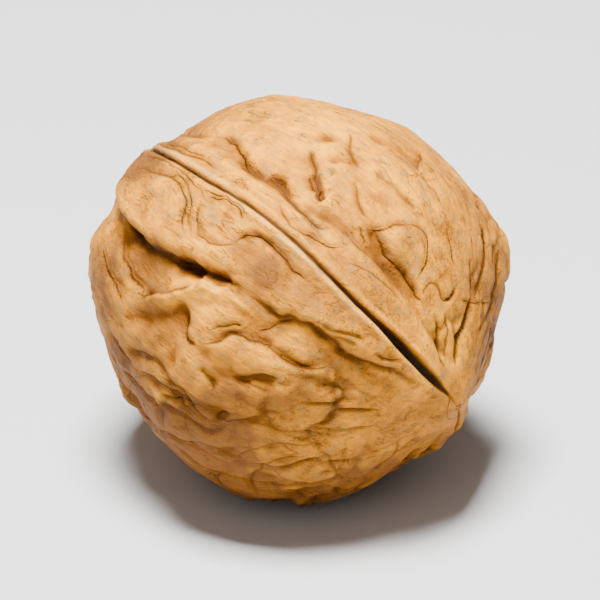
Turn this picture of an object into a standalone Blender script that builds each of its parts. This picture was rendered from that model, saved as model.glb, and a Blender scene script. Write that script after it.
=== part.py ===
"""A whole walnut in its shell, about 37 mm long, lying on its side.

The nut is worked out upright first, in millimetres, with its tip up (+Z) and the seam that
shows on +Y. A place on it is named by two angles in degrees: "around", from that seam
towards the cheek on +X, and "along", from the tip (0) down to the base (180). The smooth
body is an egg with a small point. The relief is a height above it, raised square to the
body: lumps, the two seam bands with the line between the halves, creases along routes, and
a network of cracks. The nut is then laid down and a small flat spot is cut where it rests.
"""
from math import radians

import bpy
import numpy as np
from mathutils import Matrix, Vector

MM = 0.001

# The smooth body, in mm
CHEEK_HALF = 17.3        # from the axis to a cheek
SEAM_HALF = 17.2         # from the axis to a seam
TIP_REACH = 17.0
BASE_REACH = 19.3
FULLER_TO_TIP = 0.06     # how much the widest place moves towards the tip
POINT_HEIGHT = 1.2       # the small point at the tip
POINT_SPREAD = 12.0      # degrees
TIP_LEAN = 1.3           # how far the tip leans towards the cheek on +X

# How it lies: turned about its own length, then laid over with the tip dipping
ROLL = 125.5             # degrees
DIP = 17.8               # degrees
REST_SPOT = (1.0, 0.3, -17.25)   # the middle of the flat spot, from the nut's middle, mm

SEAM_RISE = 0.62         # height of the raised band along the seams, mm
TO_SHOWN = (0.26, 0.95, -0.16)    # towards the side whose forms are set by hand
SEED = 7
TRIANGLES = 11400

# Lumps and hollows: around, along, spread (degrees), height (mm)
LUMPS = [
    (20, 148, 13, -1.3), (-36, 149, 10, -0.9), (-19, 128, 10, 0.6), (-34, 110, 8, -0.4),
    (-50, 141, 11, 0.85), (98, 56, 14, 1.1), (125, 33, 20, -0.4), (-36, 92, 5, -0.5),
    (-39, 98, 4, -0.35), (-48, 103, 3.5, -0.45), (-45, 93, 6, -0.35), (-39.5, 89, 2, -0.3),
    (-51, 89, 2.5, -0.35), (-57, 69, 2.5, -0.3), (-29, 80, 6, 0.35), (-45, 80, 7, 0.4),
    (-35, 62, 8, 0.3), (-22, 58, 5, -0.15), (-12, 84, 6, -0.3), (-8, 120, 6, 0.2),
    (76, 95, 7, 0.45), (90, 70, 7, 0.4), (54, 128, 8, 0.4), (25.5, 84.5, 3, 0.4), (15, 78.5, 3.5, 0.35),
    (17, 92, 3.5, 0.35), (31, 92, 4, 0.3), (15, 102, 6, 0.3), (28.5, 88, 2, -0.3),
    (35, 96, 3, -0.3), (49, 89, 3, -0.25), (21, 63, 2.5, -0.3), (28, 56, 7, 0.3),
    (42, 76, 8, 0.25), (62, 60, 9, 0.25), (-62, 100, 6, -0.3), (-70, 85, 9, 0.4),
]

# Creases: depth, half width and step (mm; the step raises the side on the left of the
# route, seen from outside), then the route as (around, along)
CREASES = [
    # the deep fold under the seam's ridge, from the base to the tip, and its black hollow
    (0.85, 0.34, 0.5, [(-13, 143), (-19, 140.5), (-24, 135), (-26, 130), (-27, 125), (-26.7, 118.5),
                       (-26.3, 113), (-26, 108.5), (-25, 103), (-22.5, 92.5), (-21, 89), (-20.3, 84.7),
                       (-19.6, 80.5), (-19, 76)]),
    (0.5, 0.3, 0.24, [(-19.6, 78.5), (-19.2, 74), (-20, 69.5), (-17.5, 65), (-16.5, 61.5), (-15.5, 57),
                      (-15.5, 53.5), (-16, 48.5), (-16, 44), (-15, 36), (-13, 26), (-12, 16)]),
    (1.3, 0.6, 0.0, [(-25.2, 102.5), (-24.8, 100), (-23.6, 95.5), (-22.3, 91.5)]),
    # the light rim below it, the crease above the rim and the brown hollow under the rim
    (-0.55, 0.6, 0.0, [(-43, 105), (-38, 101.5), (-34.5, 98.5), (-31.5, 95.5), (-28, 92.5),
                        (-25.5, 89.5), (-24, 85), (-23, 80), (-22.5, 75), (-23, 70)]),
    (0.5, 0.3, -0.15, [(-41, 106.5), (-38.5, 104), (-35.5, 101.2), (-32.3, 98.3), (-28, 95.2), (-25, 92.8)]),
    (0.6, 1.0, 0.15, [(-47, 105), (-42.5, 100.5), (-39, 97), (-35.5, 93.5), (-34, 89)]),
    (0.3, 0.34, -0.2, [(-30, 130), (-34, 123.5), (-35.5, 118), (-37.3, 112.5), (-38.5, 107.5), (-38.5, 104)]),
    (0.25, 0.3, -0.12, [(-37, 131), (-42, 124), (-44.5, 117), (-46, 110), (-47, 104)]),
    # the looping crease, a fine one above it, and the soft groove below
    (0.45, 0.26, -0.22, [(-38.5, 80.5), (-37, 78.3), (-34.6, 77), (-32, 74.6), (-29.8, 71),
                         (-27.8, 68.8), (-28, 66), (-28.3, 62.7), (-28.8, 59), (-28.8, 55.5),
                         (-28.3, 51.8), (-25.5, 48), (-21.5, 45), (-18, 42)]),
    (0.2, 0.24, 0.0, [(-33, 83), (-31.5, 78.5), (-29.5, 75.5), (-27.5, 72.5), (-25.5, 69.5)]),
    (0.45, 0.85, -0.1, [(-41, 84), (-43, 77), (-45, 72), (-43.5, 68), (-41, 64), (-40, 60), (-39, 54)]),
    # long brown creases at the lower side
    (0.6, 0.75, 0.2, [(-55, 122), (-59, 115), (-62, 108), (-63, 103), (-64, 98), (-65, 93), (-66, 87)]),
    (0.35, 0.32, 0.1, [(-56, 96), (-57.5, 90), (-58.5, 84), (-59, 78), (-59, 72), (-57, 66)]),
    (0.3, 0.3, 0.0, [(-61.5, 86), (-62.5, 80), (-63, 74), (-62, 68)]),
    # veins and the oval plate on the seam's ridge
    (0.16, 0.24, 0.0, [(-9.7, 105), (-6.5, 106.5), (-3.7, 106), (-1.9, 102.5), (-1.9, 98.5), (-2.5, 94.5),
                       (-4, 91.5)]),
    (0.2, 0.26, -0.08, [(-7.3, 90.3), (-10.5, 92.8), (-13, 97), (-13.4, 101.3), (-11.8, 104), (-9.7, 105)]),
    (0.34, 0.3, 0.16, [(-9.5, 92), (-7, 90), (-4.3, 87), (-4, 81), (-4.6, 76), (-4.5, 70.5), (-3.5, 65)]),
    (0.22, 0.26, -0.1, [(-3, 121), (-6, 116.5), (-9, 112), (-11.5, 109), (-13.3, 105), (-15, 101),
                        (-16, 96)]),
    (0.16, 0.2, 0.0, [(-5, 138), (-3.6, 128), (-3.2, 118), (-2.6, 108), (-2.2, 98)]),
    (0.16, 0.2, 0.0, [(-9, 137), (-7, 129), (-5.5, 121), (-4.3, 113)]),
    (0.2, 0.2, 0.0, [(4.5, 138), (3.8, 128), (3.2, 118), (2.8, 108), (2.6, 99)]),
    (0.22, 0.26, 0.08, [(-14, 56), (-12.5, 51), (-10, 46), (-8, 42)]),
    (0.2, 0.26, 0.0, [(-8, 34), (-6, 31), (-4.5, 29.5), (-2.5, 30)]),
    # right of the seam: pits, knobs and the smooth raised oval with its dark left edge
    (0.42, 0.3, 0.15, [(19, 119), (15, 113), (12.5, 108), (11, 104.5), (10.5, 99.5)]),
    (0.55, 0.34, 0.0, [(12, 97), (10.5, 94), (10, 91), (9.3, 88), (9.3, 84), (9.8, 80), (9.5, 76),
                       (11.5, 72)]),
    (0.5, 0.42, 0.0, [(11.4, 95.5), (10.4, 93.5), (9.8, 90.5)]),
    (0.7, 0.38, 0.1, [(27, 97), (23.5, 92.5), (21.3, 89.7), (19.7, 87.3), (18.5, 84.3), (18, 82),
                      (20, 79.5)]),
    (0.35, 0.4, 0.0, [(26.3, 92), (24.3, 88.7), (22, 85)]),
    (0.3, 0.28, 0.0, [(37.5, 92), (35, 87.5), (34, 84), (33.5, 80)]),
    (0.34, 0.3, 0.1, [(25.5, 76.5), (24, 74), (22.8, 71.3), (22.4, 68)]),
    (0.6, 0.34, 0.34, [(22.5, 67), (21.3, 63), (20, 60), (19.7, 57), (19.5, 54), (20, 51), (19.7, 48),
                       (20.3, 45.5), (21, 42.5), (22.5, 38)]),
    (0.22, 0.27, 0.0, [(20.5, 65), (25, 64), (28.5, 64), (33, 61.8), (38, 58), (39, 55.5), (38, 52.5),
                       (35.8, 50.5), (31, 47.3), (25.5, 46.3), (19.5, 48)]),
    (0.22, 0.25, 0.0, [(22, 39.5), (23, 41.5), (26, 43), (29.5, 42.5), (32, 41), (35, 40), (36.5, 36)]),
    (0.34, 0.28, 0.1, [(60, 84), (60, 80.5), (57.5, 78.5), (53.5, 76.5), (51.3, 75), (51, 71), (50, 66)]),
    (0.18, 0.24, 0.0, [(4.5, 82), (5, 77), (5.5, 73.5), (6.8, 70.7), (9, 68.3), (10.5, 65)]),
    # long veins that run together at the tip
    (0.42, 0.3, 0.1, [(26, 15), (33, 22), (37, 25), (45, 26.5), (51, 28), (57, 30)]),
    (0.4, 0.3, 0.1, [(58, 18), (61, 24), (68, 27), (76, 31)]),
    (0.35, 0.32, 0.1, [(74, 57), (72, 52), (72, 47), (68, 42), (61, 36), (54, 30), (46, 18)]),
    (0.35, 0.32, 0.1, [(88, 60), (84, 54), (81, 47), (80, 40), (78, 32)]),
    (0.3, 0.3, 0.1, [(60, 50), (56, 43), (50, 37), (45, 33), (40, 28)]),
]

# The seams, by along: how far the line between the halves strays from the middle (degrees of
# around), the raised band's width on either side of it and half the gap's width (mm)
FRONT_WANDER = [(0, 0), (10, -1.5), (20, -3), (30, -1.3), (40, -0.3), (60, 0), (70, 0.8), (80, 1),
                (90, 0.8), (110, 0.2), (130, 0), (180, 0)]
BACK_WANDER = [(0, 0), (25, 3), (60, -2), (95, 2.5), (130, -2), (180, 0)]
LEFT_BAND = [(0, 1.2), (25, 2.4), (45, 3.4), (60, 4.3), (75, 5.4), (90, 6.2), (110, 6.6), (130, 6), (180, 3)]
RIGHT_BAND = [(0, 1.2), (30, 2.6), (50, 3.8), (62, 4.0), (75, 3.0), (95, 2.6), (120, 3.2), (180, 2.5)]
BACK_BAND = [(0, 1.2), (40, 2.8), (90, 3.4), (140, 3.0), (180, 2)]
FRONT_GAP = [(0, 0.1), (9, 0.15), (13, 0.38), (20, 0.5), (32, 0.52), (37, 0.42), (42, 0.24),
             (50, 0.18), (70, 0.14), (180, 0.13)]
BACK_GAP = [(0, 0.12), (20, 0.25), (45, 0.18), (180, 0.13)]


def ease(low, high, x):
    """0 below low, 1 above high, and a smooth S between them."""
    t = np.clip((x - low) / (high - low), 0, 1)
    return t * t * (3 - 2 * t)


def table(x, rows, blur=4):
    """Values between the rows, each the mean over blur degrees either side, so nothing kinks."""
    spread = np.linspace(-blur, blur, 7)
    return sum(np.interp(x + d, *np.transpose(rows)) for d in spread) / len(spread)


def lean(along):
    """How far the body leans towards +X: TIP_LEAN at the tip, none from 70 degrees on."""
    return TIP_LEAN * np.exp(-(along / 32) ** 2)


def body(around, along):
    """The smooth egg: a circle of sin(along), fuller to the tip, and a small leaning point."""
    turn, down = np.radians(around), np.radians(along)
    width = np.sin(down) * (1 + FULLER_TO_TIP * np.cos(down))
    reach = np.where(along < 90, TIP_REACH, BASE_REACH)
    height = reach * np.cos(down) + POINT_HEIGHT * np.exp(-(along / POINT_SPREAD) ** 2)
    return np.stack([CHEEK_HALF * width * np.sin(turn) + lean(along),
                     SEAM_HALF * width * np.cos(turn), height], -1)


def outward(points):
    """The direction square to the ellipsoid of the same half sizes."""
    n = points / np.array([CHEEK_HALF, SEAM_HALF, TIP_REACH]) ** 2
    return n / np.linalg.norm(n, axis=-1, keepdims=True)


def noise(points, seed):
    """Gradient noise of about -1 to 1: slopes at the corners of unit cells, blended smoothly."""
    rng = np.random.default_rng(seed)
    order = rng.permutation(256)
    slopes = rng.normal(size=(256, 3))
    slopes /= np.linalg.norm(slopes, axis=1, keepdims=True)
    cell = np.floor(points).astype(int)
    inside = points - cell
    blend = inside ** 3 * (inside * (inside * 6 - 15) + 10)
    total = np.zeros(len(points))
    for corner in np.ndindex(2, 2, 2):
        x, y, z = (cell + corner).T
        key = order[(order[(order[x & 255] + y) & 255] + z) & 255]
        weight = np.prod(np.where(corner, blend, 1 - blend), axis=1)
        total += weight * (slopes[key] * (inside - corner)).sum(1)
    return total * 1.6


def rough(points, seed, octaves=2):
    """Noise with finer, weaker noise added, each octave half as large and half as strong."""
    return sum(noise(points * 2.03 ** i, seed + i) * 0.5 ** i for i in range(octaves))


def wandering(count, seed):
    """Creases by chance on the sides turned away: each starts anywhere and wanders along the
    nut in steps of 7 degrees, turning a little at each, with a depth and width of its own."""
    rng = np.random.default_rng(seed)
    found = []
    while len(found) < count:
        a, b = rng.uniform(0, 360), np.degrees(np.arccos(rng.uniform(-0.93, 0.93)))
        heading, bend = np.radians(rng.normal(0, (32, 12)))
        route = []
        for _ in range(rng.integers(3, 10)):
            if 10 < b < 170 and outward(body(a, b)) @ TO_SHOWN < 0.36:
                route.append((a, b))
            heading += bend + rng.normal(0, 0.3)
            b += 7 * np.cos(heading)
            a += 7 * np.sin(heading) / max(0.2, np.sin(np.radians(b)))
        if len(route) > 2:
            depth = rng.uniform(0.25, 0.65)
            found.append((depth, rng.uniform(0.26, 0.36) + 0.2 * depth, rng.normal(0, 0.18), route))
    return found


def smooth_route(route, step=0.3):
    """A Catmull-Rom curve through the route, sampled about every step mm, on the body."""
    p = np.array(route, float)
    p = np.vstack([2 * p[0] - p[1], p, 2 * p[-1] - p[-2]])
    runs = []
    for a, b, c, d in zip(p, p[1:], p[2:], p[3:]):
        count = int(np.linalg.norm(body(*b) - body(*c)) / step) + 2
        t = np.linspace(0, 1, count, endpoint=False)[:, None]
        runs.append(0.5 * (2 * b + (c - a) * t + (2 * a - 5 * b + 4 * c - d) * t ** 2
                           + (3 * b - a - 3 * c + d) * t ** 3))
    return body(*np.vstack(runs + [p[-2:-1]]).T)


def from_route(points, normals, route):
    """For the points near a route: their indices, distance, side (+1 left) and place on it, 0 to 1."""
    line = smooth_route(route)
    ahead = np.gradient(line, axis=0)
    ahead /= np.linalg.norm(ahead, axis=1, keepdims=True)
    near = np.flatnonzero(np.all((points > line.min(0) - 6) & (points < line.max(0) + 6), axis=1))
    q = points[near]
    nearest = ((q ** 2).sum(1)[:, None] - 2 * q @ line.T + (line ** 2).sum(1)).argmin(1)
    away, ahead = q - line[nearest], ahead[nearest]
    left = np.sign((np.cross(normals[near], ahead) * away).sum(1))
    forward = (away * ahead).sum(1)
    past_end = (nearest == 0) & (forward < 0) | (nearest == len(line) - 1) & (forward > 0)
    away = away - np.where(past_end, 0, forward)[:, None] * ahead
    return near, np.linalg.norm(away, axis=1), left, nearest / (len(line) - 1)


def network(around, along, seed, columns, rows, warp):
    """Distance to the borders of a net of uneven cells that are long along the nut, and each
    point's cell. The cells' middles are a loose brick pattern, and noise bends the borders."""
    rng = np.random.default_rng(seed)
    col, row = np.meshgrid(np.arange(columns), np.arange(rows), indexing="ij")
    col = (col + 0.5 * (row % 2) + rng.uniform(-0.42, 0.42, col.shape)) * 360 / columns
    row = (row + 0.5 + rng.uniform(-0.42, 0.42, row.shape)) * 180 / rows

    def unrolled(a, b):
        a, b = np.radians(a), np.radians(b)
        wide = SEAM_HALF * (0.35 + 0.65 * np.sin(b))
        return np.stack([wide * np.cos(a), wide * np.sin(a), 0.3 * SEAM_HALF * b], -1)

    middles = unrolled(col.ravel(), row.ravel())
    points = unrolled(around, along)
    points = points + warp * np.stack([rough(points * 0.22, seed + 10 * i, 3) for i in (1, 2, 3)], -1)
    border, cell = np.empty(len(points)), np.empty(len(points), int)
    for start in range(0, len(points), 20000):
        part = slice(start, start + 20000)
        q = points[part]
        d2 = (q ** 2).sum(1)[:, None] - 2 * q @ middles.T + (middles ** 2).sum(1)
        two = np.argpartition(d2, 1, axis=1)[:, :2]
        d2 = np.take_along_axis(d2, two, 1)
        apart = np.linalg.norm(middles[two[:, 0]] - middles[two[:, 1]], axis=1)
        border[part] = abs(d2[:, 1] - d2[:, 0]) / (2 * apart)
        cell[part] = two[np.arange(len(q)), d2.argmin(1)]
    return border, cell


def relief(around, along):
    """Points of the smooth body, their outward directions and the height raised on them, mm."""
    p = body(around, along)
    n = outward(p)
    girth = np.sin(np.radians(along))
    # the side with the forms set by hand, where the ones made by noise are weaker
    shown = ease(0.2, 0.5, n @ TO_SHOWN)
    height = 0.42 * rough(p / (9, 9, 12), SEED) * (1 - 0.7 * shown)
    height += 0.2 * noise(p / (3.6, 3.6, 4.9), SEED + 5) * ease(0.15, 0.5, girth)
    height += 0.08 * rough(p / (1.6, 1.6, 2.4), SEED + 8) * ease(0.1, 0.4, girth)
    for a, b, spread, rise in LUMPS:
        away = ((p - body(a, b)) ** 2).sum(1)
        height += rise * np.exp(-away / (radians(spread) * SEAM_HALF) ** 2)

    # the seam bands: raised, with a groove outside them, lips and the gap between the halves
    front = p[:, 1] > 0
    stray = np.where(front, table(along, FRONT_WANDER), table(along, BACK_WANDER))
    upright = p[:, 0] - lean(along)
    side = upright - np.sin(np.radians(stray)) * np.hypot(upright, p[:, 1])
    off = np.abs(side)
    uneven = noise(np.stack([along / 16, 3.1 * np.sign(side), 7.7 * front], -1), SEED + 20)
    width = np.where(front, np.where(side < 0, table(along, LEFT_BAND), table(along, RIGHT_BAND)),
                     table(along, BACK_BAND) + 0.7 * uneven)
    clear = ease(0.08, 0.45, girth)
    height += clear * SEAM_RISE * (1 - ease(width * 0.7, width * 1.2, off))
    beside = clear * np.exp(-((off - width * 1.15) / 0.9) ** 2) * (0.25 + 0.35 * rough(p / 4, SEED + 30))
    height -= beside * (1 - shown * (side < 0))
    height += clear * 0.26 * np.exp(-((off - 0.55) / 0.33) ** 2)
    gap = np.where(front, table(along, FRONT_GAP, 2), table(along, BACK_GAP))
    height -= (0.32 + 2.2 * (gap - 0.12)) * np.exp(-(off / gap) ** 4) * ease(0, 0.12, girth)

    # the creases, which waver a little and vary in depth
    wobble = np.stack([rough(p / 1.7, SEED + 200 + i) for i in range(3)], -1)
    uneven = 1 + 0.5 * noise(p / 2.3, SEED + 210)
    for depth, half, step, route in CREASES + wandering(95, SEED + 123):
        near, away, left, place = from_route(p + 0.22 * wobble, n, route)
        ends = ease(0, 0.2, place) * (1 - ease(0.8, 1, place))
        away = away / (half * (0.55 + 0.45 * ends))
        fold = step * left * np.tanh(away) * np.exp(-(away * half / 2.2) ** 2)
        height[near] += ends * (fold - depth * np.exp(-away ** 1.4) * uneven[near])

    # cracks all over, plates between them that stand a little higher or lower, and pits
    border, cell = network(around, along, SEED + 40, 26, 9, 1.6)
    beyond = ease(1.6, 3.4, off) * ease(0.1, 0.35, girth) * (1 - 0.7 * shown)
    height -= 0.3 * np.exp(-(border / 0.26) ** 2) * ease(-0.35, 0.6, noise(p / 5, SEED + 50)) * beyond
    plate = np.random.default_rng(SEED + 60).uniform(-0.1, 0.16, 26 * 9)
    height += plate[cell] * ease(0, 1.6, border) * beyond
    pits = rough((p + 0.5 * wobble) / (2.2, 2.2, 4.2), SEED + 90)
    pits = ease(0.38, 0.8, pits) * ease(0.3, 0.8, girth)
    height -= 0.6 * pits * ease(3, 5, off) * (1 - ease(9, 14, off)) * (1 - shown)
    return p, n, height


def new_collection(name):
    group = bpy.data.collections.new(name)
    bpy.context.scene.collection.children.link(group)
    return group


def move_to(obj, group):
    for old in list(obj.users_collection):
        old.objects.unlink(obj)
    group.objects.link(obj)


for obj in list(bpy.data.objects):
    bpy.data.objects.remove(obj, do_unlink=True)

walnut_parts = new_collection("walnut_in_shell")
cutters = new_collection("cutters")

# The shell: a fine sphere whose points are moved to the relief, closer together at the seams
# and most so at the front one
bpy.ops.mesh.primitive_uv_sphere_add(segments=400, ring_count=200, radius=1)
walnut = bpy.context.object
walnut.name = walnut.data.name = "walnut"
move_to(walnut, walnut_parts)
sphere = np.empty(len(walnut.data.vertices) * 3, np.float32)
walnut.data.vertices.foreach_get("co", sphere)
sphere = sphere.reshape(-1, 3).astype(float)
turn = np.arctan2(sphere[:, 0], sphere[:, 1])
around = np.degrees(turn - 0.15 * np.sin(2 * turn) - 0.15 * np.sin(turn))
along = np.degrees(np.arctan2(np.hypot(sphere[:, 0], sphere[:, 1]), sphere[:, 2]))
smooth, square, height = relief(around, along)
walnut.data.vertices.foreach_set("co", (smooth + square * height[:, None]).ravel())

# Laid down, with the middle of the flat spot at the origin
lay = Matrix.Rotation(radians(90 + DIP), 4, "Y") @ Matrix.Rotation(radians(ROLL), 4, "Z")
walnut.data.transform(Matrix.Scale(MM, 4) @ Matrix.Translation(-Vector(REST_SPOT)) @ lay)
walnut.data.update()
walnut.data.shade_smooth()

lighter = walnut.modifiers.new("lighter", "DECIMATE")
lighter.ratio = TRIANGLES / (400 * 199 * 2)

# The flat spot that it rests on
bpy.ops.mesh.primitive_cube_add(size=0.03, location=(0, 0, -0.015))
floor_cut = bpy.context.object
floor_cut.name = "floor_cut"
move_to(floor_cut, cutters)
floor_cut.hide_render = True
floor_cut.display_type = "WIRE"
flat = walnut.modifiers.new("flat_spot", "BOOLEAN")
flat.operation = "DIFFERENCE"
flat.object = floor_cut

shell = bpy.data.materials.new("walnut_shell")
shell.use_nodes = True
bsdf = shell.node_tree.nodes["Principled BSDF"]
bsdf.inputs["Base Color"].default_value = (0.52, 0.30, 0.12, 1)
bsdf.inputs["Roughness"].default_value = 0.55
bsdf.inputs["Metallic"].default_value = 0.0
walnut.data.materials.append(shell)
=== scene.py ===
"""A whole walnut in its shell, lying on its side on a pale floor.

The shell is worked out upright, in millimetres, with its tip up and the seam that shows on
+Y. A place on it is named by two angles in degrees: "around", from that seam towards the
cheek on +X, and "along", from the tip (0) to the base (180).
"""
from math import cos, radians, sin

import bpy
import numpy as np
from mathutils import Matrix, Vector


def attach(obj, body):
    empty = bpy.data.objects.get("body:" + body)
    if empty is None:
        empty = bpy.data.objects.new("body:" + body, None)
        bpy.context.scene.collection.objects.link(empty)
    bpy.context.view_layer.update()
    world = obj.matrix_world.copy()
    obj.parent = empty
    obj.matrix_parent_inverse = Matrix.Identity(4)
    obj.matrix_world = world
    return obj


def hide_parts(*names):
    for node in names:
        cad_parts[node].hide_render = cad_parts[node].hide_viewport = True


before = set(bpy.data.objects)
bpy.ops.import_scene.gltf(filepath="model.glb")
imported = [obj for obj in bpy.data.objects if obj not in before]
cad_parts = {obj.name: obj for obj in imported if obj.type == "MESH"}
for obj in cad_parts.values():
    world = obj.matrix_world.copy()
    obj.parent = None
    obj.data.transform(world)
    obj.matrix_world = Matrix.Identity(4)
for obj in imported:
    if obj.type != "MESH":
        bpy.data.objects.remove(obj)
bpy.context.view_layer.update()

# The smooth body of the nut: a woody shell that grew round, a little fuller to the tip end,
# with a small point where the two halves meet.
CHEEK_HALF, SEAM_HALF = 17.3, 17.2
TIP_REACH, BASE_REACH = 17.0, 19.3
FULLER_TO_TIP = 0.06
POINT_HEIGHT, POINT_SPREAD = 1.2, 12.0
TIP_LEAN = 1.3


def lean(along):
    """How far the body leans towards +X: TIP_LEAN times a bell of along, 32 degrees wide."""
    return TIP_LEAN * np.exp(-(along / 32) ** 2)


def body(around, along):
    """The smooth egg: circles as wide as sin(along), made fuller to the tip by its cosine, at
    heights of the reach times cos(along), with a small point added as a bell at the tip."""
    turn, down = np.radians(around), np.radians(along)
    width = np.sin(down) * (1 + FULLER_TO_TIP * np.cos(down))
    reach = np.where(along < 90, TIP_REACH, BASE_REACH)
    height = reach * np.cos(down) + POINT_HEIGHT * np.exp(-(along / POINT_SPREAD) ** 2)
    return np.stack([CHEEK_HALF * width * np.sin(turn) + lean(along),
                     SEAM_HALF * width * np.cos(turn), height], -1)


def outward(points):
    """The direction square to the ellipsoid of the same half sizes: each coordinate over the
    square of its half size, made 1 long."""
    n = points / np.array([CHEEK_HALF, SEAM_HALF, TIP_REACH]) ** 2
    return n / np.linalg.norm(n, axis=-1, keepdims=True)


# The grid over it: rings from tip to base, each closer together round the two seams, where
# the finest forms are. The single points at tip and base close it.
RINGS, ROUND = 222, 448
along = np.repeat(np.linspace(0, 180, RINGS + 2)[1:-1], ROUND)
turn = np.linspace(-np.pi, np.pi, ROUND, endpoint=False)
around = np.tile(np.degrees(turn - 0.15 * np.sin(2 * turn) - 0.15 * np.sin(turn)), RINGS)
around, along = np.append(around, [0, 0]), np.append(along, [0.001, 179.999])
smooth = body(around, along)
square = outward(smooth)
girth = np.sin(np.radians(along))

# Slow lumps and hollows of the shell: some everywhere, by noise, and those of this nut one by one, such
# as the flattened base end and the round shoulder that starts the seam's ridge.
SEED = 7
SLOW_RISE, LUMP_RISE, GRAIN_RISE = 0.42, 0.2, 0.08
LUMPS = [
    (20, 148, 13, -1.3), (-36, 149, 10, -0.9), (-19, 128, 10, 0.6), (-34, 110, 8, -0.4),
    (-50, 141, 11, 0.85), (98, 56, 14, 1.1), (125, 33, 20, -0.4), (-36, 92, 5, -0.5),
    (-39, 98, 4, -0.35), (-48, 103, 3.5, -0.45), (-45, 93, 6, -0.35), (-39.5, 89, 2, -0.3),
    (-51, 89, 2.5, -0.35), (-57, 69, 2.5, -0.3), (-29, 80, 6, 0.35), (-45, 80, 7, 0.4),
    (-35, 62, 8, 0.3), (-22, 58, 5, -0.15), (-12, 84, 6, -0.3), (-8, 120, 6, 0.2),
    (76, 95, 7, 0.45), (90, 70, 7, 0.4), (54, 128, 8, 0.4), (25.5, 84.5, 3, 0.4),
    (15, 78.5, 3.5, 0.35), (17, 92, 3.5, 0.35), (31, 92, 4, 0.3), (15, 102, 6, 0.3),
    (28.5, 88, 2, -0.3), (35, 96, 3, -0.3), (49, 89, 3, -0.25), (21, 63, 2.5, -0.3),
    (28, 56, 7, 0.3), (42, 76, 8, 0.25), (62, 60, 9, 0.25), (-62, 100, 6, -0.3),
    (-70, 85, 9, 0.4),
]  # around, along, spread in degrees, height in mm


def noise(points, seed):
    """Gradient noise of about -1 to 1: each corner of a unit cell has a slope by chance, and a
    point gets the heights that the 8 slopes reach there, blended smoothly by nearness."""
    rng = np.random.default_rng(seed)
    order = rng.permutation(256)
    slopes = rng.normal(size=(256, 3))
    slopes /= np.linalg.norm(slopes, axis=1, keepdims=True)
    cell = np.floor(points).astype(int)
    inside = points - cell
    blend = inside ** 3 * (inside * (inside * 6 - 15) + 10)
    total = np.zeros(len(points))
    for corner in np.ndindex(2, 2, 2):
        x, y, z = (cell + corner).T
        key = order[(order[(order[x & 255] + y) & 255] + z) & 255]
        weight = np.prod(np.where(corner, blend, 1 - blend), axis=1)
        total += weight * (slopes[key] * (inside - corner)).sum(1)
    return total * 1.6


def rough(points, seed, octaves=2):
    """Noise with finer, weaker noise added, each octave half as large and half as strong."""
    return sum(noise(points * 2.03 ** i, seed + i) * 0.5 ** i for i in range(octaves))


def ease(low, high, x):
    """0 below low, 1 above high, and the smooth S of 3 t squared less 2 t cubed between them."""
    t = np.clip((x - low) / (high - low), 0, 1)
    return t * t * (3 - 2 * t)


TO_SHOWN = (0.26, 0.95, -0.16)  # the side that the photo shows
shown = ease(0.2, 0.5, square @ TO_SHOWN)
height = SLOW_RISE * rough(smooth / (9, 9, 12), SEED) * (1 - 0.7 * shown)
height += LUMP_RISE * noise(smooth / (3.6, 3.6, 4.9), SEED + 5) * ease(0.15, 0.5, girth)
height += GRAIN_RISE * rough(smooth / (1.6, 1.6, 2.4), SEED + 8) * ease(0.1, 0.4, girth)
for a, b, across, rise in LUMPS:
    away = ((smooth - body(a, b)) ** 2).sum(1)
    height += rise * np.exp(-away / (radians(across) * SEAM_HALF) ** 2)

# The seams: the halves meet in a raised band with a shallow groove on each side of it. The
# line between them has two rounded lips, one of them with a pale edge, and opens to a dark
# gap near the tip. The tables give degrees or mm for each place along.
SEAM_RISE = 0.62
LIP_RISE, LIP_OFF, LIP_HALF = 0.26, 0.55, 0.33
PALE_RISE, PALE_HALF = 0.12, 0.26
GAP_DEPTH, GAP_DEEPER = 0.32, 2.2  # at a half gap of 0.12 mm, and more for each mm past it
FRONT_WANDER = [(0, 0), (10, -1.5), (20, -2.4), (30, -1), (38, -0.4), (50, -0.8), (65, -0.3),
                (75, 0.4), (88, 0.3), (98, -0.1), (106, -1.1), (128, -1.3), (141, 0), (180, 0)]
BACK_WANDER = [(0, 0), (25, 3), (60, -2), (95, 2.5), (130, -2), (180, 0)]
LEFT_BAND = [(0, 1.2), (25, 2.4), (45, 3.4), (60, 4.3), (75, 5.4), (90, 6.2), (110, 6.6), (130, 6),
             (180, 3)]
RIGHT_BAND = [(0, 1.2), (30, 2.6), (50, 3.8), (62, 4), (75, 3), (95, 2.6), (120, 3.2), (180, 2.5)]
BACK_BAND = [(0, 1.2), (40, 2.8), (90, 3.4), (140, 3.0), (180, 2)]
FRONT_GAP = [(0, 0.1), (9, 0.15), (13, 0.34), (20, 0.46), (32, 0.48), (37, 0.4), (42, 0.26),
             (50, 0.19), (70, 0.15), (100, 0.13), (180, 0.12)]
BACK_GAP = [(0, 0.12), (20, 0.25), (45, 0.18), (180, 0.13)]


def table(x, rows, blur=4):
    """Values between the rows, each the mean over blur degrees either side, so nothing kinks."""
    shifts = np.linspace(-blur, blur, 7)
    return sum(np.interp(x + shift, *np.transpose(rows)) for shift in shifts) / len(shifts)


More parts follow.
